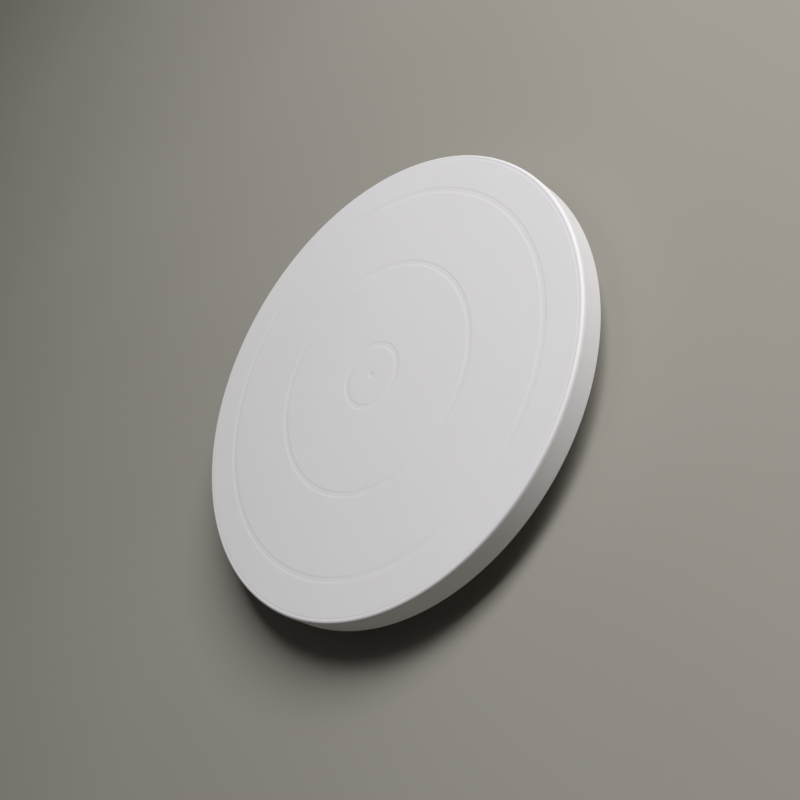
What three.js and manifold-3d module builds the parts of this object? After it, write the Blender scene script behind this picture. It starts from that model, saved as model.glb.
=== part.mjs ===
// Low plastic sculpting turntable, in millimetres, +Z up, origin on the table under the middle of its feet.
//
// A white moulded top with a turned-down skirt spins on a smaller moulded base. Between them a ring of steel
// balls runs in two steel races, spaced by a cage. A screw, washer and sleeve, clamped to the top, turn in a
// bush in the base's hub and stop the top from lifting off. Rubber feet push into sockets under the base.
import * as THREE from "three";
import { mergeVertices } from "three/addons/utils/BufferGeometryUtils.js";
import Module from "manifold-3d";

const wasm = await Module();
wasm.setup();

// ---------- driving dimensions ----------
const ROUND = 48; // sides of a large round
const SMALL_ROUND = 24; // sides of a small round
const FULL_TURN = Math.PI * 2;
const REST_GAP = 0.1; // between pieces that rest on each other
const WALL = 2.4; // moulded wall thickness
const EDGE = 0.5; // chamfer on the free edge of a moulded wall
const CORNER = 1; // chamfer inside a moulded corner
const ROOT = 0.8; // how far a rib reaches into what it stands on

const TOP = { radius: 150, height: 34, plate: 2.8, skirt: 16, rim: 2.4, rimDrop: 3.9, draft: 0.3, boss: 9 };
const GUIDE_RINGS = [20.5, 75, 125]; // radii of the guide grooves
const GROOVE = { width: 4, floor: 2.4, depth: 0.2 };
const RIM_LINE = { radius: 146.4, width: 1.8, depth: 0.2 };
const DIMPLE = { radius: 2.6, depth: 0.3 };
const DUST_WALL = { gap: 0.4, overDeck: 1.1 }; // the top's wall that hangs round the base's race wall
const REGISTER_LIP = 0.7; // how far the walls round the upper race stop short of its face

const BASE = { radius: 108, bottom: 2.6, deck: 15.5, plate: 2.5, rim: 3, draft: 0.3 };
const HUB = { bore: 7.1, radius: 11, top: 18.5, seat: 9.2, recess: 12, capSeat: 13.1, cup: 15.5 };
const RACE_WALL = { play: 0.3, thickness: 1.8, height: 1.7 }; // the two low walls round the lower race

const RIB = { count: 12, thickness: 2 };
const TOP_RIB = { rings: [118, 38.5], rise: 2 }; // ring radii, and how much shallower a rib is at the skirt
const BASE_RIB = { rings: [78, 46.5], bottom: 4.6 };

const BALL = { count: 20, radius: 3, pitch: 78, play: 0.15 };
const RACE = { width: 13, thickness: 2, grooveDepth: 0.8, grooveRadius: 3.6, grooveSteps: 4 };
const CAGE = { width: 12.4, thickness: 2.4, pocket: 3.25, pocketSides: 12 };

const SLEEVE = { radius: 5, bore: 2.7, bottom: 9 };
const BUSH = { bore: 5.05, radius: 7, bottom: 9.3, flange: 10, flangeThickness: 1.3, endPlay: 0.4 };
const WASHER = { radius: 9, thickness: 1.2 };
const SCREW = { shank: 2.1, tip: 29, point: 2, head: 4.6, headHeight: 3.2, headRound: 1.6, slot: 1.1 };
const PILOT = { radius: 2.2, spare: 1 };
const CAP = { radius: 12.9, thickness: 1.3, plug: 11.8, plugWall: 1.4, plugTop: 6.6 };

const FOOT = { count: 6, circle: 92, flange: 10.6, height: 2.5, edge: 1, stem: 8.9, core: 5.2, floor: 4.5 };
const SOCKET = { radius: 11, bore: 9.2 };

// ---------- places worked out from them ----------
const topUnderside = TOP.height - TOP.plate;
const skirtBottom = TOP.height - TOP.skirt;
const deckUnderside = BASE.deck - BASE.plate;
const raceInner = BALL.pitch - RACE.width / 2;
const raceOuter = BALL.pitch + RACE.width / 2;
const lowerRaceBottom = BASE.deck + REST_GAP;
const lowerRaceTop = lowerRaceBottom + RACE.thickness;
const ballMiddle = lowerRaceTop - RACE.grooveDepth + BALL.play + BALL.radius;
const upperRaceBottom = 2 * ballMiddle - lowerRaceTop;
const upperRaceTop = upperRaceBottom + RACE.thickness;
const raceSeat = upperRaceTop + REST_GAP; // foot of the top's ribs, which the upper race is under
const innerRaceWall = raceInner - RACE_WALL.play;
const outerRaceWall = raceOuter + RACE_WALL.play;
const bossBottom = HUB.top + BUSH.flangeThickness + BUSH.endPlay;
const washerTop = SLEEVE.bottom - REST_GAP;
const washerBottom = washerTop - WASHER.thickness;
const capTop = BASE.bottom + CAP.thickness;

// ---------- solids ----------

// A solid of revolution about Z from [radius, height] points, given so that the faces point out.
function revolve(points, sides = ROUND) {
  const profile = points.map(([radius, height]) => new THREE.Vector2(radius, height));
  return new THREE.LatheGeometry(profile, sides).rotateX(Math.PI / 2);
}

// A closed profile that doesn't touch the axis goes back to its first point.
function ring(points, sides = ROUND) {
  return revolve([...points, points[0]], sides);
}

function circle(radius, sides, x = 0, y = 0) {
  return Array.from({ length: sides }, (_, i) => {
    const turn = (i / sides) * FULL_TURN;
    return new THREE.Vector2(x + radius * Math.cos(turn), y + radius * Math.sin(turn));
  });
}

function disc(radius, bottom, top, x, y) {
  const shape = new THREE.Shape(circle(radius, SMALL_ROUND, x, y));
  const upright = new THREE.ExtrudeGeometry(shape, { depth: top - bottom, bevelEnabled: false });
  return upright.translate(0, 0, bottom);
}

// Upright plates along radii: the side outline of one is [radius, height] points.
function radialRibs(outline) {
  const shape = new THREE.Shape(outline.map(([radius, height]) => new THREE.Vector2(radius, height)));
  return Array.from({ length: RIB.count }, (_, i) =>
    new THREE.ExtrudeGeometry(shape, { depth: RIB.thickness, bevelEnabled: false })
      .translate(0, 0, -RIB.thickness / 2)
      .rotateX(Math.PI / 2)
      .rotateZ(((i + 0.5) / RIB.count) * FULL_TURN),
  );
}

// A ring rib under a plate, as points of the plate's profile on its way in.
function ringRib(radius, root, tip) {
  const outer = radius + RIB.thickness / 2;
  const inner = radius - RIB.thickness / 2;
  return [[outer, root], [outer, tip], [inner, tip], [inner, root]];
}

function toSolid(geometry) {
  const bare = geometry.clone();
  bare.deleteAttribute("normal");
  bare.deleteAttribute("uv");
  const merged = mergeVertices(bare, 1e-3);
  return new wasm.Manifold(
    new wasm.Mesh({
      numProp: 3,
      vertProperties: merged.attributes.position.array,
      triVerts: new Uint32Array(merged.index.array),
    }),
  );
}

function toGeometry(solid) {
  const { vertProperties, triVerts } = solid.getMesh();
  const geometry = new THREE.BufferGeometry();
  geometry.setAttribute("position", new THREE.BufferAttribute(vertProperties, 3));
  geometry.setIndex(new THREE.BufferAttribute(triVerts, 1));
  return geometry;
}

// One body with others joined to it and others then cut from it.
function build(body, added = [], cut = []) {
  const joined = added.reduce((solid, geometry) => solid.add(toSolid(geometry)), toSolid(body));
  return toGeometry(cut.reduce((solid, geometry) => solid.subtract(toSolid(geometry)), joined));
}

// Points on a quarter of an ellipse from a level top down to an upright side, out to radius and up to height.
function shoulder(radius, height, width, drop, steps) {
  return Array.from({ length: steps + 1 }, (_, i) => {
    const turn = (i / steps) * (Math.PI / 2);
    return [radius - width * (1 - Math.sin(turn)), height - drop * (1 - Math.cos(turn))];
  });
}

// ---------- materials ----------
const whitePlastic = new THREE.MeshStandardMaterial({ color: 0xdcdad8, roughness: 0.48, metalness: 0 });
const nylon = new THREE.MeshStandardMaterial({ color: 0xd9d2bf, roughness: 0.55, metalness: 0 });
const acetal = new THREE.MeshStandardMaterial({ color: 0x2a2b2d, roughness: 0.4, metalness: 0 });
const steel = new THREE.MeshStandardMaterial({ color: 0xb4b7bb, roughness: 0.3, metalness: 1 });
const zincSteel = new THREE.MeshStandardMaterial({ color: 0xa9adb1, roughness: 0.42, metalness: 1 });
const rubber = new THREE.MeshStandardMaterial({ color: 0x3c3d3f, roughness: 0.85, metalness: 0 });

const turntable = new THREE.Group();

function piece(name, geometry, material) {
  const mesh = new THREE.Mesh(geometry, material);
  mesh.name = name;
  turntable.add(mesh);
  return mesh;
}

// ---------- the top, which turns ----------

// A flat-bottomed groove in the upper face.
function guideGroove(radius) {
  const floor = TOP.height - GROOVE.depth;
  return [
    [radius - GROOVE.width / 2, TOP.height],
    [radius - GROOVE.floor / 2, floor],
    [radius + GROOVE.floor / 2, floor],
    [radius + GROOVE.width / 2, TOP.height],
  ];
}

function turntableTop() {
  const inside = TOP.radius - WALL;
  const registerBottom = upperRaceBottom + REGISTER_LIP;
  const dustInner = outerRaceWall + RACE_WALL.thickness + DUST_WALL.gap;
  const dustOuter = dustInner + WALL;
  const dustBottom = BASE.deck + DUST_WALL.overDeck;
  const registerInner = innerRaceWall - WALL;
  const pilotTop = SCREW.tip + PILOT.spare;
  const ribBottom = raceSeat + TOP_RIB.rise / 2;
  const [outerRing, innerRing] = TOP_RIB.rings;
  const body = revolve([
    [0, TOP.height - DIMPLE.depth],
    [DIMPLE.radius, TOP.height],
    ...GUIDE_RINGS.flatMap(guideGroove),
    [RIM_LINE.radius - RIM_LINE.width / 2, TOP.height],
    [RIM_LINE.radius, TOP.height - RIM_LINE.depth],
    [RIM_LINE.radius + RIM_LINE.width / 2, TOP.height],
    ...shoulder(TOP.radius - TOP.draft, TOP.height, TOP.rim, TOP.rimDrop, 4),
    [TOP.radius, skirtBottom + EDGE],
    [TOP.radius - EDGE, skirtBottom],
    [inside + TOP.draft, skirtBottom],
    [inside, topUnderside - CORNER],
    [inside - CORNER, topUnderside],
    ...ringRib(outerRing, topUnderside, ribBottom),
    [dustOuter, topUnderside],
    [dustOuter, dustBottom],
    [dustInner, dustBottom],
    [dustInner, registerBottom],
    [outerRaceWall, registerBottom],
    [outerRaceWall, topUnderside],
    [innerRaceWall, topUnderside],
    [innerRaceWall, registerBottom],
    [registerInner, registerBottom],
    [registerInner, topUnderside],
    ...ringRib(innerRing, topUnderside, ribBottom),
    [TOP.boss, topUnderside],
    [TOP.boss, bossBottom],
    [PILOT.radius, bossBottom],
    [PILOT.radius, pilotTop],
    [0, pilotTop],
  ].reverse());
  const ribs = radialRibs([
    [TOP.boss - ROOT, ribBottom],
    [innerRaceWall - ROOT, ribBottom],
    [innerRaceWall - ROOT, raceSeat],
    [dustInner + ROOT, raceSeat],
    [inside + ROOT, raceSeat + TOP_RIB.rise],
    [inside + ROOT, topUnderside + ROOT],
    [TOP.boss - ROOT, topUnderside + ROOT],
  ]);
  return build(body, ribs);
}

// A flat steel ring with a round groove on the side that faces the balls.
function race(flat, face) {
  const toward = Math.sign(face - flat);
  const { grooveDepth, grooveRadius, grooveSteps } = RACE;
  const half = Math.acos((grooveRadius - grooveDepth) / grooveRadius);
  const groove = Array.from({ length: grooveSteps + 1 }, (_, i) => {
    const turn = half * ((2 * i) / grooveSteps - 1);
    const below = grooveDepth - grooveRadius * (1 - Math.cos(turn));
    return [BALL.pitch + grooveRadius * Math.sin(turn), face - toward * below];
  });
  const outline = [[raceInner, flat], [raceInner, face], ...groove, [raceOuter, face], [raceOuter, flat]];
  return ring(toward > 0 ? outline.reverse() : outline);
}

// ---------- the base, which stands still ----------

function footPlaces() {
  return Array.from({ length: FOOT.count }, (_, i) => {
    const turn = ((i + 0.5) / FOOT.count) * FULL_TURN;
    return [FOOT.circle * Math.cos(turn), FOOT.circle * Math.sin(turn)];
  });
}

function baseShell() {
  const inside = BASE.radius - WALL;
  const wallTop = BASE.deck + RACE_WALL.height;
  const [outerRing, innerRing] = BASE_RIB.rings;
  const body = ring([
    [HUB.bore, HUB.top],
    [HUB.radius, HUB.top],
    [HUB.radius, BASE.deck],
    [innerRaceWall - RACE_WALL.thickness, BASE.deck],
    [innerRaceWall - RACE_WALL.thickness, wallTop],
    [innerRaceWall, wallTop],
    [innerRaceWall, BASE.deck],
    [outerRaceWall, BASE.deck],
    [outerRaceWall, wallTop],
    [outerRaceWall + RACE_WALL.thickness, wallTop],
    [outerRaceWall + RACE_WALL.thickness, BASE.deck],
    ...shoulder(BASE.radius - BASE.draft, BASE.deck, BASE.rim, BASE.rim, 3),
    [BASE.radius, BASE.bottom + EDGE],
    [BASE.radius - EDGE, BASE.bottom],
    [inside + BASE.draft, BASE.bottom],
    [inside, deckUnderside - CORNER],
    [inside - CORNER, deckUnderside],
    ...ringRib(outerRing, deckUnderside, BASE_RIB.bottom),
    ...ringRib(innerRing, deckUnderside, BASE_RIB.bottom),
    [HUB.cup, deckUnderside],
    [HUB.cup, BASE.bottom],
    [HUB.capSeat, BASE.bottom],
    [HUB.capSeat, capTop + REST_GAP],
    [HUB.recess, capTop + REST_GAP],
    [HUB.recess, HUB.seat],
    [HUB.bore, HUB.seat],
  ].reverse());
  const ribs = radialRibs([
    [HUB.cup - ROOT, BASE_RIB.bottom],
    [inside + ROOT, BASE_RIB.bottom],
    [inside + ROOT, deckUnderside + ROOT],
    [HUB.cup - ROOT, deckUnderside + ROOT],
  ]);
  const sockets = footPlaces().map(([x, y]) => disc(SOCKET.radius, BASE.bottom, deckUnderside + ROOT, x, y));
  const bores = footPlaces().map(([x, y]) => disc(SOCKET.bore, BASE.bottom - ROOT, deckUnderside, x, y));
  return build(body, [...ribs, ...sockets], bores);
}

function foot(x, y) {
  return revolve([
    [0, 0],
    [FOOT.flange - FOOT.edge, 0],
    [FOOT.flange, FOOT.edge],
    [FOOT.flange, FOOT.height],
    [FOOT.stem, FOOT.height],
    [FOOT.stem, deckUnderside - REST_GAP],
    [FOOT.core, deckUnderside - REST_GAP],
    [FOOT.core, FOOT.floor],
    [0, FOOT.floor],
  ], SMALL_ROUND).translate(x, y, 0);
}

// ---------- the bearing ----------

function cage() {
  const shape = new THREE.Shape(circle(BALL.pitch + CAGE.width / 2, ROUND));
  shape.holes.push(new THREE.Path(circle(BALL.pitch - CAGE.width / 2, ROUND)));
  for (const [x, y] of ballPlaces()) {
    shape.holes.push(new THREE.Path(circle(CAGE.pocket, CAGE.pocketSides, x, y)));
  }
  const plate = new THREE.ExtrudeGeometry(shape, { depth: CAGE.thickness, bevelEnabled: false });
  return plate.translate(0, 0, ballMiddle - CAGE.thickness / 2);
}

function ballPlaces() {
  return Array.from({ length: BALL.count }, (_, i) => {
    const turn = (i / BALL.count) * FULL_TURN;
    return [BALL.pitch * Math.cos(turn), BALL.pitch * Math.sin(turn)];
  });
}

// ---------- the pivot ----------

function tube(inner, outer, bottom, top) {
  return ring([[inner, bottom], [outer, bottom], [outer, top], [inner, top]], SMALL_ROUND);
}

function bush() {
  const flangeBottom = HUB.top + REST_GAP;
  const flangeTop = HUB.top + BUSH.flangeThickness;
  return ring([
    [BUSH.bore, BUSH.bottom],
    [BUSH.radius, BUSH.bottom],
    [BUSH.radius, flangeBottom],
    [BUSH.flange, flangeBottom],
    [BUSH.flange, flangeTop],
    [BUSH.bore, flangeTop],
  ], SMALL_ROUND);
}

// A pan-head screw, head down, with a cross slot.
function pivotScrew() {
  const underHead = washerBottom - REST_GAP;
  const headBottom = underHead - SCREW.headHeight;
  const body = revolve([
    [0, headBottom],
    [SCREW.head - SCREW.headRound, headBottom],
    [SCREW.head, headBottom + SCREW.headRound],
    [SCREW.head, underHead],
    [SCREW.shank, underHead],
    [SCREW.shank, SCREW.tip - SCREW.point],
    [0, SCREW.tip],
  ], SMALL_ROUND);
  const slots = [0, Math.PI / 2].map((turn) =>
    new THREE.BoxGeometry(SCREW.head, SCREW.slot, SCREW.headHeight).rotateZ(turn).translate(0, 0, headBottom),
  );
  return build(body, [], slots);
}

// A disc with a ring that plugs into the hub's recess.
function hubCap() {
  const plugInside = CAP.plug - CAP.plugWall;
  return revolve([
    [0, BASE.bottom],
    [CAP.radius - EDGE, BASE.bottom],
    [CAP.radius, BASE.bottom + EDGE],
    [CAP.radius, capTop],
    [CAP.plug, capTop],
    [CAP.plug, CAP.plugTop],
    [plugInside, CAP.plugTop],
    [plugInside, capTop],
    [0, capTop],
  ], SMALL_ROUND);
}

// ---------- assembly ----------
piece("turntable_top", turntableTop(), whitePlastic);
piece("upper_race", race(upperRaceTop, upperRaceBottom), steel);
piece("pivot_sleeve", tube(SLEEVE.bore, SLEEVE.radius, SLEEVE.bottom, bossBottom - REST_GAP), zincSteel);
piece("pivot_washer", tube(SLEEVE.bore, WASHER.radius, washerBottom, washerTop), zincSteel);
piece("pivot_screw", pivotScrew(), zincSteel);

piece("ball_cage", cage(), nylon);
ballPlaces().forEach(([x, y], i) => {
  const name = `ball_${String(i + 1).padStart(2, "0")}`;
  piece(name, new THREE.IcosahedronGeometry(BALL.radius, 1), steel).position.set(x, y, ballMiddle);
});

piece("base_shell", baseShell(), whitePlastic);
piece("lower_race", race(lowerRaceBottom, lowerRaceTop), steel);
piece("pivot_bush", bush(), acetal);
piece("hub_cap", hubCap(), whitePlastic);
footPlaces().forEach(([x, y], i) => piece(`foot_${i + 1}`, foot(x, y), rubber));

export default turntable;
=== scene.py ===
"""Sculpting turntable: fine meshes, materials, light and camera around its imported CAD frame."""
import math

import bmesh
import bpy
from mathutils import Matrix, Quaternion, Vector


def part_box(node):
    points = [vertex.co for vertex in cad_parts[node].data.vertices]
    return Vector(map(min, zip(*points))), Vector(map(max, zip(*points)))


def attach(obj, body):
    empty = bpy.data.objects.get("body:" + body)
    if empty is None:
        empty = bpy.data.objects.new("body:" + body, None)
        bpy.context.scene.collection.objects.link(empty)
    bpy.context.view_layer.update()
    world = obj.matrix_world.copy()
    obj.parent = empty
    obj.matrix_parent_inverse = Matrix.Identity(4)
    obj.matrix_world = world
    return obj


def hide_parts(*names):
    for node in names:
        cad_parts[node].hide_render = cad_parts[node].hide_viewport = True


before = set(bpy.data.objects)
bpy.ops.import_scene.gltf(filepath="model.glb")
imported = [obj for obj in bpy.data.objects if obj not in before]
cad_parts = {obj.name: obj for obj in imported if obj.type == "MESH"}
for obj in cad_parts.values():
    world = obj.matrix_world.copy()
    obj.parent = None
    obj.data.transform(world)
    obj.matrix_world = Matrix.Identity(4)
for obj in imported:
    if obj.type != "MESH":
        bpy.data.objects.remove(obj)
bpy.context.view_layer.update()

MM = 0.001
FULL_TURN = 2 * math.pi

# ---------- sizes in millimetres: the frame's own, and the details that it leaves plain ----------


def box_mm(node):
    low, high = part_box(node)
    return low / MM, high / MM


TOP_RADIUS = box_mm("turntable_top")[1].x
TOP_HEIGHT = box_mm("turntable_top")[1].z
DUST_BOTTOM = box_mm("turntable_top")[0].z
PLATE = 2.8
SKIRT = 16.0
SKIRT_DRAFT = 0.3
WALL = 2.4
BOSS_RADIUS = 9.0
BOSS_BOTTOM = box_mm("pivot_sleeve")[1].z + 0.1
SCREW_CLEARANCE = 2.7  # radius of the bores that the screw passes through

GUIDE_RADII = (20.5, 75.0, 125.0)
GUIDE_WALL_OFFSET = 1.6  # from the groove's middle to the middle of either wall
GUIDE_WALL_WIDTH = 1.5
GUIDE_DEPTH = 0.11
GUIDE_MARGIN = 4.0  # from the groove's middle to the level face on either side
RIM_LINE_RADIUS = 147.0
RIM_LINE_OFFSET = 0.5
RIM_LINE_WALL = 0.7
RIM_LINE_DEPTH = 0.08
RIM_LINE_MARGIN = 3.0
MARK_OFFSET = 1.75  # the moulding mark in the middle of the face
MARK_WALL = 1.5
MARK_DEPTH = 0.17
SHOULDER_WIDTH = 3.0
SHOULDER_DROP = 4.6
SHOULDER_SQUARENESS = 4.2  # 2 is a quarter of an ellipse, and more is a fuller corner

BASE_RADIUS = box_mm("base_shell")[1].x
BASE_BOTTOM = box_mm("base_shell")[0].z
DECK = 15.5
BASE_PLATE = 2.5
BASE_ROUND = 3.0
HUB_TOP = box_mm("base_shell")[1].z
HUB_RADIUS = 11.0
HUB_BORE = 7.1
HUB_SEAT = 9.2
HUB_RECESS = 12.0
CAP_SEAT = 13.1
HUB_CUP = 15.5

LOWER_RACE = box_mm("lower_race")
UPPER_RACE = box_mm("upper_race")
RACE_INNER, RACE_OUTER = 71.5, LOWER_RACE[1].x
RACE_PLAY = 0.3
RACE_WALL = 1.8
RACE_WALL_HEIGHT = 1.7
RACE_SEAT = UPPER_RACE[1].z + 0.1
PITCH_RADIUS = 78.0
BALL_COUNT = 20
BALL_RADIUS = 3.0
BALL_HEIGHT = (box_mm("ball_01")[0].z + box_mm("ball_01")[1].z) / 2
RACE_GROOVE_RADIUS = 3.6
RACE_GROOVE_DEPTH = 0.8

RIB_COUNT = 12
RIB_THICKNESS = 2.0
RIB_DRAFT = 0.15
RIB_ROOT = 0.8
TOP_RINGS = (118.0, 38.5)
TOP_RIB_RISE = 2.0
BASE_RINGS = (78.0, 46.5)
BASE_RIB_BOTTOM = 4.6

FOOT_COUNT = 6
FOOT_CIRCLE = 92.0
SOCKET_RADIUS = 11.0
SOCKET_BORE = 9.2

inner_race_wall = RACE_INNER - RACE_PLAY
outer_race_wall = RACE_OUTER + RACE_PLAY
top_underside = TOP_HEIGHT - PLATE
skirt_bottom = TOP_HEIGHT - SKIRT
deck_underside = DECK - BASE_PLATE

# ---------- mesh making ----------
ARC_STEP = math.radians(14)
WALL_STEPS = 6
SHOULDER_STEPS = 18
LARGE_SIDES = 360
SMALL_SIDES = 96


def rounded(points):
    """An outline of (radius, height) points. A third value rounds that corner by its radius."""
    outline = []
    for i, point in enumerate(points):
        here = Vector(point[:2])
        if len(point) < 3:
            outline.append(here)
            continue
        back = Vector(points[i - 1][:2]) - here
        ahead = Vector(points[(i + 1) % len(points)][:2]) - here
        turn = math.pi - back.angle(ahead)
        reach = point[2] * math.tan(turn / 2)
        start = here + back.normalized() * reach
        end = here + ahead.normalized() * reach
        inward = (back.normalized() + ahead.normalized()).normalized()
        middle = here + inward * (point[2] / math.cos(turn / 2))
        first_spoke, last_spoke = start - middle, end - middle
        steps = max(2, math.ceil(turn / ARC_STEP))
        for step in range(steps + 1):
            done = turn * step / steps
            first_share = math.sin(turn - done) / math.sin(turn)
            last_share = math.sin(done) / math.sin(turn)
            outline.append(middle + first_spoke * first_share + last_spoke * last_share)
    return outline


def new_piece(name, verts, faces):
    mesh = bpy.data.meshes.new(name)
    mesh.from_pydata([(x * MM, y * MM, z * MM) for x, y, z in verts], [], faces)
    mesh.validate()
    piece = bpy.data.objects.new(name, mesh)
    bpy.context.scene.collection.objects.link(piece)
    return piece


def revolve(name, outline, sides=LARGE_SIDES, closed=False):
    """A solid of revolution about Z. An open outline starts and ends on the axis. A closed one is a ring."""
    verts, rings, faces = [], [], []
    for radius, height in outline:
        if radius < 1e-6:
            rings.append([len(verts)])
            verts.append((0, 0, height))
        else:
            first = len(verts)
            rings.append(list(range(first, first + sides)))
            for i in range(sides):
                turn = i / sides * FULL_TURN
                verts.append((radius * math.cos(turn), radius * math.sin(turn), height))
    pairs = list(zip(rings, rings[1:]))
    if closed:
        pairs.append((rings[-1], rings[0]))
    for one, other in pairs:
        for i in range(sides):
            j = (i + 1) % sides
            if len(one) == 1:
                faces.append((one[0], other[j], other[i]))
            elif len(other) == 1:
                faces.append((one[i], one[j], other[0]))
            else:
                faces.append((one[i], one[j], other[j], other[i]))
    return new_piece(name, verts, faces)


def outward(piece):
    """Turns every face of a closed mesh to point out."""
    mesh = bmesh.new()
    mesh.from_mesh(piece.data)
    bmesh.ops.recalc_face_normals(mesh, faces=mesh.faces)
    mesh.to_mesh(piece.data)
    mesh.free()
    return piece


def smooth(piece, sharp_degrees=40):
    """Smooth shading that keeps flats flat and corners sharp."""
    piece.data.shade_smooth()
    piece.data.set_sharp_from_angle(angle=math.radians(sharp_degrees))
    even = piece.modifiers.new("even_normals", "WEIGHTED_NORMAL")
    even.keep_sharp = True
    return piece


def combine(piece, tool, operation):
    """Joins a tool to a piece or cuts it away, and removes the tool."""
    change = piece.modifiers.new(operation.lower(), "BOOLEAN")
    change.operation = operation
    change.solver = "EXACT"
    change.object = tool
    evaluated = piece.evaluated_get(bpy.context.evaluated_depsgraph_get())
    mesh = bpy.data.meshes.new_from_object(evaluated)
    piece.modifiers.clear()
    piece.data = mesh
    bpy.data.objects.remove(tool)
    return piece


def radial_ribs(outline):
    """Upright plates along radii, thinner towards the tip, from one side outline of (radius, height)."""
    root = max(height for _, height in outline)
    depth = root - min(height for _, height in outline)
    verts, faces = [], []
    count = len(outline)
    for i in range(RIB_COUNT):
        turn = (i + 0.5) / RIB_COUNT * FULL_TURN
        first = len(verts)
        for side in (-1, 1):
            for radius, height in outline:
                half = RIB_THICKNESS / 2 - RIB_DRAFT * (root - height) / depth
                along = Vector((math.cos(turn), math.sin(turn)))
                across = Vector((-along.y, along.x)) * half * side
                verts.append((along.x * radius + across.x, along.y * radius + across.y, height))
        faces.append(tuple(first + k for k in range(count)))
        faces.append(tuple(first + count + k for k in reversed(range(count))))
        for k in range(count):
            n = (k + 1) % count
            faces.append((first + k, first + count + k, first + count + n, first + n))
    return outward(new_piece("ribs", verts, faces))


def plugs(places, radius, bottom, top):
    """Upright round bars at several places, as one tool."""
    verts, faces = [], []
    for x, y in places:
        first = len(verts)
        for height in (bottom, top):
            for i in range(SMALL_SIDES):
                turn = i / SMALL_SIDES * FULL_TURN
                verts.append((x + radius * math.cos(turn), y + radius * math.sin(turn), height))
        faces.append(tuple(first + i for i in reversed(range(SMALL_SIDES))))
        faces.append(tuple(first + SMALL_SIDES + i for i in range(SMALL_SIDES)))
        for i in range(SMALL_SIDES):
            j = (i + 1) % SMALL_SIDES
            faces.append((first + i, first + j, first + SMALL_SIDES + j, first + SMALL_SIDES + i))
    return new_piece("plugs", verts, faces)


def shift(x, y, z):
    return Matrix.Translation((x * MM, y * MM, z * MM))


def on_circle(count, radius, offset=0.0):
    turns = ((i + offset) / count * FULL_TURN for i in range(count))
    return [(radius * math.cos(turn), radius * math.sin(turn)) for turn in turns]


def ring_rib(radius, root, tip):
    """Outline points of a rib that runs round the axis, with rounded roots and tip."""
    outer, inner = radius + RIB_THICKNESS / 2, radius - RIB_THICKNESS / 2
    return [
        (outer, root, 0.5),
        (outer - RIB_DRAFT, tip, 0.3),
        (inner + RIB_DRAFT, tip, 0.3),
        (inner, root, 0.5),
    ]


# ---------- the pieces ----------


def eased(share):
    """0 to 1 with level ends."""
    return 0.5 - 0.5 * math.cos(math.pi * share)


def groove_wall(middle, width, depth, falling):
    """Points down (or up) one soft wall of a groove in the face."""
    points = []
    for step in range(WALL_STEPS + 1):
        share = step / WALL_STEPS
        sunk = eased(share) if falling else 1 - eased(share)
        points.append((middle + width * (share - 0.5), TOP_HEIGHT - depth * sunk))
    return points


def groove(radius, offset, width, depth):
    inner_wall = groove_wall(radius - offset, width, depth, falling=True)
    return inner_wall + groove_wall(radius + offset, width, depth, falling=False)


def crowned(points):
    """Lowers points of the face by the soft start of the rim's rounded edge."""
    start = TOP_RADIUS - SKIRT_DRAFT - SHOULDER_WIDTH
    lowered = []
    for radius, height in points:
        across = max(0.0, (radius - start) / SHOULDER_WIDTH)
        down = 1 - (1 - across**SHOULDER_SQUARENESS) ** (1 / SHOULDER_SQUARENESS)
        lowered.append((radius, height - SHOULDER_DROP * down))
    return lowered


def shoulder(start):
    """The rim's rounded edge, from a radius on the face to the side of the skirt."""
    outer = TOP_RADIUS - SKIRT_DRAFT
    first = math.asin(((start - outer) / SHOULDER_WIDTH + 1) ** (SHOULDER_SQUARENESS / 2))
    power = 2 / SHOULDER_SQUARENESS
    points = []
    for step in range(1, SHOULDER_STEPS + 1):
        turn = first + (math.pi / 2 - first) * step / SHOULDER_STEPS
        across, down = math.sin(turn) ** power, 1 - max(math.cos(turn), 0) ** power
        points.append((outer - SHOULDER_WIDTH * (1 - across), TOP_HEIGHT - SHOULDER_DROP * down))
    return points


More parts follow.
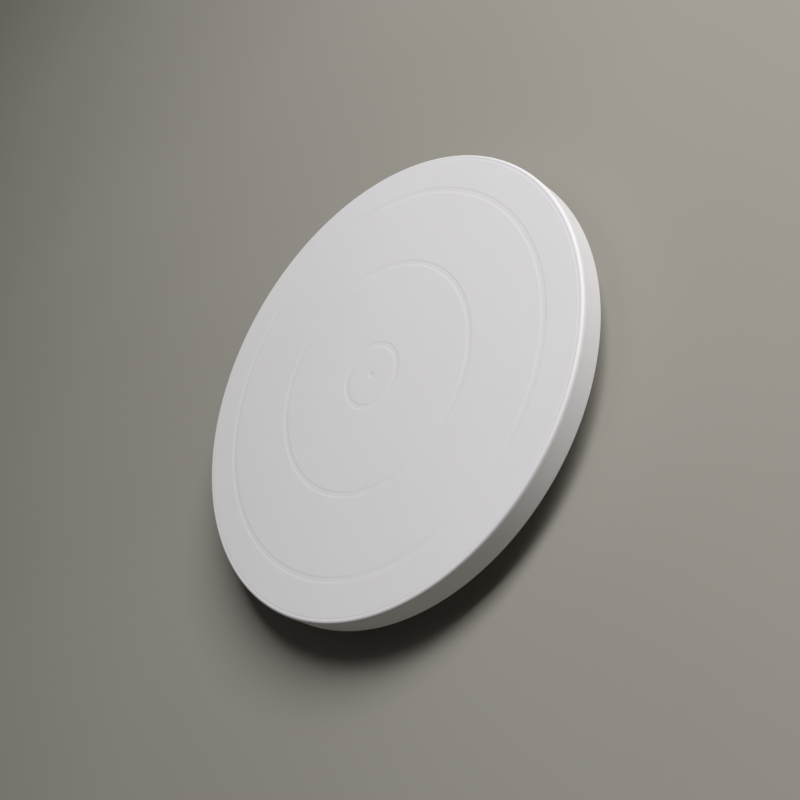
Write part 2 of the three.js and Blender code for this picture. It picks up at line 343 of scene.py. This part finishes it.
def turntable_top():
    inside = TOP_RADIUS - WALL
    register_bottom = UPPER_RACE[0].z + 0.7
    dust_inner = outer_race_wall + RACE_WALL + 0.4
    dust_outer = dust_inner + WALL
    register_inner = inner_race_wall - WALL
    rib_bottom = RACE_SEAT + TOP_RIB_RISE / 2
    pilot, pilot_top = 2.2, 30.0
    draft_start = TOP_HEIGHT - SHOULDER_DROP - 1.0
    face = [(0, TOP_HEIGHT - MARK_DEPTH)]
    face += groove_wall(MARK_OFFSET, MARK_WALL, MARK_DEPTH, falling=False)
    for radius in GUIDE_RADII:
        face += [(radius - GUIDE_MARGIN, TOP_HEIGHT)]
        face += groove(radius, GUIDE_WALL_OFFSET, GUIDE_WALL_WIDTH, GUIDE_DEPTH)
        face += [(radius + GUIDE_MARGIN, TOP_HEIGHT)]
    face += [(RIM_LINE_RADIUS - RIM_LINE_MARGIN, TOP_HEIGHT)]
    face += crowned(groove(RIM_LINE_RADIUS, RIM_LINE_OFFSET, RIM_LINE_WALL, RIM_LINE_DEPTH))
    face += shoulder(face[-1][0])
    below = rounded([
        (TOP_RADIUS - SKIRT_DRAFT, draft_start),
        (TOP_RADIUS, skirt_bottom, 0.7),
        (inside + SKIRT_DRAFT, skirt_bottom, 0.4),
        (inside, top_underside, 1.4),
        *ring_rib(TOP_RINGS[0], top_underside, rib_bottom),
        (dust_outer, top_underside, 0.5),
        (dust_outer, DUST_BOTTOM, 0.4),
        (dust_inner, DUST_BOTTOM, 0.4),
        (dust_inner, register_bottom, 0.3),
        (outer_race_wall, register_bottom, 0.4),
        (outer_race_wall, top_underside, 0.4),
        (inner_race_wall, top_underside, 0.4),
        (inner_race_wall, register_bottom, 0.4),
        (register_inner, register_bottom, 0.4),
        (register_inner, top_underside, 0.5),
        *ring_rib(TOP_RINGS[1], top_underside, rib_bottom),
        (BOSS_RADIUS, top_underside, 1.0),
        (BOSS_RADIUS, BOSS_BOTTOM, 0.4),
        (pilot, BOSS_BOTTOM, 0.3),
        (pilot, pilot_top, 0.4),
        (0, pilot_top),
    ])
    top = outward(revolve("turntable_top_fine", [Vector(p) for p in face] + below))
    ribs = radial_ribs([
        (BOSS_RADIUS - RIB_ROOT, rib_bottom),
        (inner_race_wall - RIB_ROOT, rib_bottom),
        (inner_race_wall - RIB_ROOT, RACE_SEAT),
        (dust_inner + RIB_ROOT, RACE_SEAT),
        (inside + RIB_ROOT, RACE_SEAT + TOP_RIB_RISE),
        (inside + RIB_ROOT, top_underside + RIB_ROOT),
        (BOSS_RADIUS - RIB_ROOT, top_underside + RIB_ROOT),
    ])
    return smooth(combine(top, ribs, "UNION"))


def base_shell():
    inside = BASE_RADIUS - WALL
    wall_top = DECK + RACE_WALL_HEIGHT
    cap_ledge = BASE_BOTTOM + 1.4
    base = outward(revolve("base_shell_fine", rounded([
        (HUB_BORE, HUB_TOP, 0.3),
        (HUB_RADIUS, HUB_TOP, 0.5),
        (HUB_RADIUS, DECK, 1.0),
        (inner_race_wall - RACE_WALL, DECK, 0.5),
        (inner_race_wall - RACE_WALL, wall_top, 0.4),
        (inner_race_wall, wall_top, 0.4),
        (inner_race_wall, DECK, 0.2),
        (outer_race_wall, DECK, 0.2),
        (outer_race_wall, wall_top, 0.4),
        (outer_race_wall + RACE_WALL, wall_top, 0.4),
        (outer_race_wall + RACE_WALL, DECK, 0.5),
        (BASE_RADIUS - SKIRT_DRAFT, DECK, BASE_ROUND),
        (BASE_RADIUS, BASE_BOTTOM, 0.6),
        (inside + SKIRT_DRAFT, BASE_BOTTOM, 0.4),
        (inside, deck_underside, 1.4),
        *ring_rib(BASE_RINGS[0], deck_underside, BASE_RIB_BOTTOM),
        *ring_rib(BASE_RINGS[1], deck_underside, BASE_RIB_BOTTOM),
        (HUB_CUP, deck_underside, 0.8),
        (HUB_CUP, BASE_BOTTOM, 0.4),
        (CAP_SEAT, BASE_BOTTOM, 0.2),
        (CAP_SEAT, cap_ledge, 0.2),
        (HUB_RECESS, cap_ledge, 0.2),
        (HUB_RECESS, HUB_SEAT, 0.3),
        (HUB_BORE, HUB_SEAT, 0.3),
    ]), closed=True))
    ribs = radial_ribs([
        (HUB_CUP - RIB_ROOT, BASE_RIB_BOTTOM),
        (inside + RIB_ROOT, BASE_RIB_BOTTOM),
        (inside + RIB_ROOT, deck_underside + RIB_ROOT),
        (HUB_CUP - RIB_ROOT, deck_underside + RIB_ROOT),
    ])
    places = on_circle(FOOT_COUNT, FOOT_CIRCLE, 0.5)
    base = combine(base, ribs, "UNION")
    base = combine(base, plugs(places, SOCKET_RADIUS, BASE_BOTTOM, deck_underside + RIB_ROOT), "UNION")
    base = combine(base, plugs(places, SOCKET_BORE, BASE_BOTTOM - RIB_ROOT, deck_underside), "DIFFERENCE")
    return smooth(base)


def race(name, flat, face):
    """A flat steel ring with a round groove towards the balls."""
    toward = math.copysign(1, face - flat)
    half = math.acos(1 - RACE_GROOVE_DEPTH / RACE_GROOVE_RADIUS)
    steps = 12
    edge = 0.4
    points = [(RACE_INNER, flat, edge), (RACE_INNER, face, edge)]
    for step in range(steps + 1):
        turn = half * (2 * step / steps - 1)
        sunk = RACE_GROOVE_DEPTH - RACE_GROOVE_RADIUS * (1 - math.cos(turn))
        points.append((PITCH_RADIUS + RACE_GROOVE_RADIUS * math.sin(turn), face - toward * sunk))
    points += [(RACE_OUTER, face, edge), (RACE_OUTER, flat, edge)]
    return smooth(outward(revolve(name, rounded(points), closed=True)))


def ball_cage():
    low, high = box_mm("ball_cage")
    edge = 0.4
    outer = high.x
    inner = 2 * PITCH_RADIUS - outer
    cage = outward(revolve("ball_cage_fine", rounded([
        (inner, low.z, edge), (outer, low.z, edge), (outer, high.z, edge), (inner, high.z, edge),
    ]), closed=True))
    pocket_radius, overshoot = 3.2, 1.0
    places = on_circle(BALL_COUNT, PITCH_RADIUS)
    pockets = plugs(places, pocket_radius, low.z - overshoot, high.z + overshoot)
    return smooth(combine(cage, pockets, "DIFFERENCE"))


def steel_ball(name, x, y):
    latitudes, longitudes = 24, 48
    turns = (step / latitudes * math.pi for step in range(latitudes + 1))
    outline = [(BALL_RADIUS * math.sin(turn), -BALL_RADIUS * math.cos(turn)) for turn in turns]
    ball = outward(revolve(name, outline, sides=longitudes))
    ball.data.transform(shift(x, y, BALL_HEIGHT))
    ball.data.shade_smooth()
    return ball


def tube(name, node, bore, edge):
    low, high = box_mm(node)
    return smooth(outward(revolve(name, rounded([
        (bore, low.z, edge), (high.x, low.z, edge), (high.x, high.z, edge), (bore, high.z, edge),
    ]), sides=SMALL_SIDES, closed=True)))


def pivot_bush():
    low, high = box_mm("pivot_bush")
    body, bore, under_flange = 7.0, 5.05, HUB_TOP + 0.1
    return smooth(outward(revolve("pivot_bush_fine", rounded([
        (bore, low.z, 0.2), (body, low.z, 0.4), (body, under_flange, 0.1), (high.x, under_flange, 0.2),
        (high.x, high.z, 0.4), (bore, high.z, 0.4),
    ]), sides=SMALL_SIDES, closed=True)))


def thread(start, end, core, crest, pitch, sides):
    """Rows of (radius, height), one value per side, of a thread that narrows to a point."""
    point_length, blunt, crest_share, rows_per_turn, tip = 2.0, 0.12, 0.25, 8, 0.2
    rows = []
    height = start + pitch / rows_per_turn
    while height < end - tip:
        taper = max(blunt, min(1.0, (end - height) / point_length))
        row = []
        for i in range(sides):
            phase = (height / pitch - i / sides) % 1
            rise = max(0.0, 1 - abs(phase - 0.5) / crest_share)
            row.append(((core + (crest - core) * rise) * taper, height))
        rows.append(row)
        height += pitch / rows_per_turn
    return rows


def lofted(name, rows, bottom, top):
    """A closed skin over rows of (radius, height), from a point on the axis below to one above."""
    verts, faces = [(0, 0, bottom)], []
    sides = len(rows[0])
    for row in rows:
        for i, (radius, height) in enumerate(row):
            turn = i / sides * FULL_TURN
            verts.append((radius * math.cos(turn), radius * math.sin(turn), height))
    verts.append((0, 0, top))
    last = len(verts) - 1
    last_row = last - sides
    for i in range(sides):
        j = (i + 1) % sides
        faces.append((0, 1 + j, 1 + i))
        faces.append((last, last_row + i, last_row + j))
        for a in range(1, last_row, sides):
            faces.append((a + i, a + j, a + sides + j, a + sides + i))
    return outward(new_piece(name, verts, faces))


def cross_recess(face):
    """The tool that cuts a cross recess, narrowing with depth, into a screw head's face from below."""
    arm, half, tip, depth = 2.3, 0.55, 0.5, 2.0
    corners, cross = [(arm, -half), (arm, half), (half, half)], []
    for _ in range(4):
        cross += corners
        corners = [(-y, x) for x, y in corners]
    verts, faces = [], []
    for scale, height in ((1.0, face - 0.5), (1.0, face + 0.2), (tip, face + depth)):
        verts += [(x * scale, y * scale, height) for x, y in cross]
    count = len(cross)
    for first in (0, count):
        for i in range(count):
            j = (i + 1) % count
            faces.append((first + i, first + j, first + count + j, first + count + i))
    faces += [tuple(reversed(range(count))), tuple(range(2 * count, 3 * count))]
    return outward(new_piece("recess", verts, faces))


def pivot_screw():
    """A pan-head screw, head down, with a cross recess and a thread on its upper end."""
    low, high = box_mm("pivot_screw")
    head, shank, core = high.x, 2.1, 1.65
    under_head, thread_start, pitch, sides = low.z + 3.2, 19.5, 1.4, 48
    outline = rounded([
        (0, low.z), (head, low.z, 1.9), (head, under_head, 0.2), (shank, under_head, 0.2),
        (shank, thread_start),
    ])
    rows = [[(p.x, p.y)] * sides for p in outline[1:]]
    rows += thread(thread_start, high.z, core, shank, pitch, sides)
    screw = lofted("pivot_screw_fine", rows, low.z, high.z)
    return smooth(combine(screw, cross_recess(low.z), "DIFFERENCE"))


def hub_cap():
    low, high = box_mm("hub_cap")
    dish, dish_edge = 0.3, 9.6
    plate_top, plug_outer, plug_inner = low.z + 1.3, 11.8, 10.4
    return smooth(outward(revolve("hub_cap_fine", rounded([
        (0, low.z + dish), (dish_edge - 0.6, low.z + dish, 0.3), (dish_edge, low.z, 0.3),
        (high.x, low.z, 0.5), (high.x, plate_top, 0.2),
        (plug_outer, plate_top, 0.1), (plug_outer, high.z, 0.5), (plug_inner, high.z, 0.2),
        (plug_inner, plate_top, 0.4), (0, plate_top),
    ]), sides=SMALL_SIDES)))


def foot(name, x, y):
    low, high = box_mm("foot_1")
    flange, flange_top, stem, core, core_bottom = 10.6, 2.5, 8.9, 5.2, 4.5
    dish, dish_edge = 0.5, 6.2
    waist, waist_depth, waist_half = 8.6, 0.35, 0.6
    piece = outward(revolve(name, rounded([
        (0, low.z + dish), (dish_edge - 0.7, low.z + dish, 0.4), (dish_edge, low.z, 0.4),
        (flange, low.z, 1.0), (flange, flange_top, 0.5), (stem, flange_top, 0.3),
        (stem, waist - waist_half, 0.4), (stem - waist_depth, waist, 0.4), (stem, waist + waist_half, 0.4),
        (stem, high.z, 1.0), (core, high.z, 0.3), (core, core_bottom, 0.8), (0, core_bottom),
    ]), sides=SMALL_SIDES))
    piece.data.transform(shift(x, y, 0))
    return smooth(piece)


# ---------- materials ----------


class Nodes:
    """Shorthand for one material's node tree."""

    def __init__(self, name):
        self.material = bpy.data.materials.new(name)
        self.material.use_nodes = True
        self.tree = self.material.node_tree
        self.shader = self.tree.nodes["Principled BSDF"]
        self.place = self.tree.nodes.new("ShaderNodeTexCoord").outputs["Object"]

    def link(self, source, target):
        self.tree.links.new(source, target)

    def noise(self, scale, detail, vector=None):
        node = self.tree.nodes.new("ShaderNodeTexNoise")
        node.inputs["Scale"].default_value = scale
        node.inputs["Detail"].default_value = detail
        self.link(vector or self.place, node.inputs["Vector"])
        return node.outputs["Fac"]

    def remap(self, source, low, high, from_low=0.3, from_high=0.7):
        """Stretches a noise's usual span to another."""
        node = self.tree.nodes.new("ShaderNodeMapRange")
        node.inputs["From Min"].default_value = from_low
        node.inputs["From Max"].default_value = from_high
        node.inputs["To Min"].default_value = low
        node.inputs["To Max"].default_value = high
        self.link(source, node.inputs["Value"])
        return node.outputs["Result"]

    def blend(self, source, one, other):
        """A colour between two, by a 0 to 1 source."""
        node = self.tree.nodes.new("ShaderNodeMix")
        node.data_type = "RGBA"
        node.inputs["A"].default_value = (*one, 1)
        node.inputs["B"].default_value = (*other, 1)
        self.link(source, node.inputs["Factor"])
        return node.outputs["Result"]

    def sum(self, one, other, share):
        """one plus a share of other."""
        node = self.tree.nodes.new("ShaderNodeMath")
        node.operation = "MULTIPLY_ADD"
        self.link(other, node.inputs[0])
        node.inputs[1].default_value = share
        self.link(one, node.inputs[2])
        return node.outputs[0]

    def turned(self, scale):
        """A noise that runs in fine circles round Z, as on turned metal."""
        split = self.tree.nodes.new("ShaderNodeSeparateXYZ")
        flat = self.tree.nodes.new("ShaderNodeCombineXYZ")
        length = self.tree.nodes.new("ShaderNodeVectorMath")
        length.operation = "LENGTH"
        radial = self.tree.nodes.new("ShaderNodeCombineXYZ")
        self.link(self.place, split.inputs[0])
        self.link(split.outputs["X"], flat.inputs["X"])
        self.link(split.outputs["Y"], flat.inputs["Y"])
        self.link(flat.outputs[0], length.inputs[0])
        self.link(length.outputs["Value"], radial.inputs["X"])
        self.link(split.outputs["Z"], radial.inputs["Z"])
        return self.noise(scale, 2.0, vector=radial.outputs[0])

    def bump(self, height, depth_mm):
        node = self.tree.nodes.new("ShaderNodeBump")
        node.inputs["Strength"].default_value = 1.0
        node.inputs["Distance"].default_value = depth_mm * MM
        self.link(height, node.inputs["Height"])
        self.link(node.outputs["Normal"], self.shader.inputs["Normal"])

    def colour(self, source, one, other):
        self.link(self.blend(source, one, other), self.shader.inputs["Base Color"])

    def roughness(self, source, low, high):
        self.link(self.remap(source, low, high), self.shader.inputs["Roughness"])

    def set(self, **values):
        for name, value in values.items():
            self.shader.inputs[name.replace("_", " ")].default_value = value


def moulded_plastic(name, light, dark, rough):
    """White plastic from a finely textured mould: a slow drift of tone, and a grain under a satin sheen."""
    n = Nodes(name)
    drift = n.sum(n.noise(14, 2.0), n.noise(90, 3.0), 0.25)
    n.colour(n.remap(drift, 0, 1, 0.45, 0.85), light, dark)
    n.roughness(n.noise(60, 4.0), rough - 0.05, rough + 0.06)
    n.bump(n.sum(n.noise(1500, 2.0), n.noise(420, 2.0), 0.6), depth_mm=0.004)
    n.set(IOR=1.5, Specular_IOR_Level=0.36)
    return n.material


def steel(name, bright, dull, rough, lathe=True):
    """Steel with dull clouds, and either lathe lines or an even grain."""
    n = Nodes(name)
    n.colour(n.remap(n.noise(220, 4.0), 0, 1), bright, dull)
    lines = n.turned(2600) if lathe else n.noise(900, 3.0)
    n.roughness(lines, rough - 0.06, rough + 0.1)
    n.bump(lines, depth_mm=0.004)
    n.set(Metallic=1.0)
    return n.material


def zinc(name):
    n = Nodes(name)
    tone = n.sum(n.noise(160, 4.0), n.noise(1200, 2.0), 0.3)
    n.colour(n.remap(tone, 0, 1, 0.45, 0.9), (0.62, 0.64, 0.67), (0.55, 0.54, 0.5))
    n.roughness(n.noise(500, 3.0), 0.24, 0.42)
    n.bump(n.noise(1800, 3.0), depth_mm=0.006)
    n.set(Metallic=1.0)
    return n.material


def nylon(name):
    n = Nodes(name)
    n.colour(n.remap(n.noise(120, 4.0), 0, 1), (0.72, 0.68, 0.56), (0.64, 0.59, 0.46))
    n.roughness(n.noise(300, 3.0), 0.42, 0.58)
    n.bump(n.noise(1100, 3.0), depth_mm=0.01)
    n.set(IOR=1.53)
    return n.material


def acetal(name):
    n = Nodes(name)
    n.colour(n.remap(n.turned(900), 0, 1), (0.022, 0.022, 0.024), (0.035, 0.035, 0.037))
    n.roughness(n.turned(2400), 0.28, 0.42)
    n.bump(n.turned(2400), depth_mm=0.006)
    return n.material


def rubber(name):
    n = Nodes(name)
    dust = n.sum(n.noise(260, 5.0), n.noise(40, 3.0), 0.5)
    n.colour(n.remap(dust, 0, 1, 0.6, 1.0), (0.035, 0.035, 0.037), (0.075, 0.073, 0.07))
    n.roughness(n.noise(420, 3.0), 0.66, 0.86)
    n.bump(n.noise(1700, 3.0), depth_mm=0.03)
    return n.material


def floor_paper(name):
    n = Nodes(name)
    n.colour(n.remap(n.noise(3, 2.0), 0, 1), (0.355, 0.337, 0.30), (0.375, 0.357, 0.32))
    n.set(Roughness=0.95, Specular_IOR_Level=0.1)
    return n.material


# ---------- assembly ----------


def fit(piece, body, material, node):
    """Gives a piece its material, and puts it on its body in place of a CAD node."""
    piece.data.materials.clear()
    piece.data.materials.append(material)
    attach(piece, body)
    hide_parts(node)


top_white = moulded_plastic("white_satin_plastic", (0.80, 0.787, 0.805), (0.785, 0.772, 0.79), 0.56)
base_white = moulded_plastic("white_base_plastic", (0.76, 0.75, 0.75), (0.73, 0.72, 0.715), 0.52)
race_steel = steel("turned_bearing_steel", (0.63, 0.64, 0.66), (0.52, 0.52, 0.53), 0.26)
ball_steel = steel("polished_ball_steel", (0.7, 0.7, 0.72), (0.6, 0.6, 0.62), 0.12, lathe=False)
zinc_plate = zinc("bright_zinc_plate")

fit(turntable_top(), "platter", top_white, "turntable_top")
upper_race = race("upper_race_fine", UPPER_RACE[1].z, UPPER_RACE[0].z)
fit(upper_race, "platter", race_steel, "upper_race")
for node, edge in (("pivot_sleeve", 0.3), ("pivot_washer", 0.15)):
    fit(tube(f"{node}_fine", node, SCREW_CLEARANCE, edge), "platter", zinc_plate, node)
fit(pivot_screw(), "platter", zinc_plate, "pivot_screw")

fit(ball_cage(), "cage", nylon("natural_nylon"), "ball_cage")
for number, (x, y) in enumerate(on_circle(BALL_COUNT, PITCH_RADIUS), 1):
    node = f"ball_{number:02d}"
    fit(steel_ball(f"steel_{node}", x, y), node, ball_steel, node)

fit(base_shell(), "base", base_white, "base_shell")
lower_race = race("lower_race_fine", LOWER_RACE[0].z, LOWER_RACE[1].z)
fit(lower_race, "base", race_steel, "lower_race")
fit(pivot_bush(), "base", acetal("black_acetal"), "pivot_bush")
fit(hub_cap(), "base", base_white, "hub_cap")
foot_rubber = rubber("grey_rubber")
for number, (x, y) in enumerate(on_circle(FOOT_COUNT, FOOT_CIRCLE, 0.5), 1):
    fit(foot(f"rubber_foot_{number}", x, y), "base", foot_rubber, f"foot_{number}")

# ---------- floor, light and camera ----------


def studio_floor():
    """A paper sweep all round: flat under the object, rising far behind it whichever way it is seen."""
    flat, bend, wall, sides = 2200, 900, 2600, 128
    floor = revolve("floor", rounded([(0, 0), (flat + bend, 0, bend), (flat + bend, wall)]), sides)
    floor.data.shade_smooth()
    floor.data.materials.append(floor_paper("pale_paper"))


def round_the_object(distance, azimuth, height):
    """A place in metres: distance from the spin axis, degrees from +X to +Y, and height over the face."""
    turn = math.radians(azimuth)
    return Vector((distance * math.cos(turn), distance * math.sin(turn), height + TOP_HEIGHT * MM))


def softbox(name, place, target, width, height, power):
    """A soft lamp that the camera doesn't see. Its place and target are given round the object."""
    light = bpy.data.lights.new(name, "AREA")
    light.shape = "RECTANGLE"
    light.size = width
    light.size_y = height
    light.energy = power
    lamp = bpy.data.objects.new(name, light)
    lamp.visible_camera = False
    bpy.context.scene.collection.objects.link(lamp)
    lamp.location = round_the_object(*place)
    lamp.rotation_mode = "QUATERNION"
    lamp.rotation_quaternion = (round_the_object(*target) - lamp.location).to_track_quat("-Z", "Y")


def studio_camera():
    """The view: 38 degrees above the face, rolled, with the face's middle a little off the picture's."""
    elevation, roll = math.radians(38.15), math.radians(-60.84)
    distance, lens = 617.3 * MM, 46.3
    left, up = math.radians(1.61), math.radians(1.38)
    data = bpy.data.cameras.new("camera")
    data.lens = lens
    data.sensor_width = 36
    data.clip_start = 0.01
    data.clip_end = 50
    camera = bpy.data.objects.new("camera", data)
    bpy.context.scene.collection.objects.link(camera)
    toward = Vector((0, -math.cos(elevation), math.sin(elevation)))
    level = (-toward).to_track_quat("-Z", "Y")
    off_axis = Vector((-math.tan(left), math.tan(up), -1)).rotation_difference(Vector((0, 0, -1)))
    camera.location = Vector((0, 0, TOP_HEIGHT * MM)) + toward * distance
    camera.rotation_mode = "QUATERNION"
    camera.rotation_quaternion = level @ Quaternion((0, 0, 1), roll) @ off_axis
    bpy.context.scene.camera = camera


def studio_world(strength):
    """A faint, even, white surround that keeps shadows open."""
    world = bpy.data.worlds.new("studio")
    world.use_nodes = True
    background = world.node_tree.nodes["Background"]
    background.inputs["Color"].default_value = (1, 1, 1, 1)
    background.inputs["Strength"].default_value = strength
    bpy.context.scene.world = world


studio_floor()
lit_side = 342  # degrees from +X to +Y
softbox("key", (1.4, lit_side, 1.31), target=(0, 0, 0), width=0.6, height=1.3, power=39)
softbox("backdrop_light", (1.6, lit_side, 2.4), target=(3.1, lit_side, 0.7), width=1.2, height=1.2, power=14)
studio_world(strength=0.04)
bpy.context.scene.view_settings.view_transform = "Standard"
studio_camera()
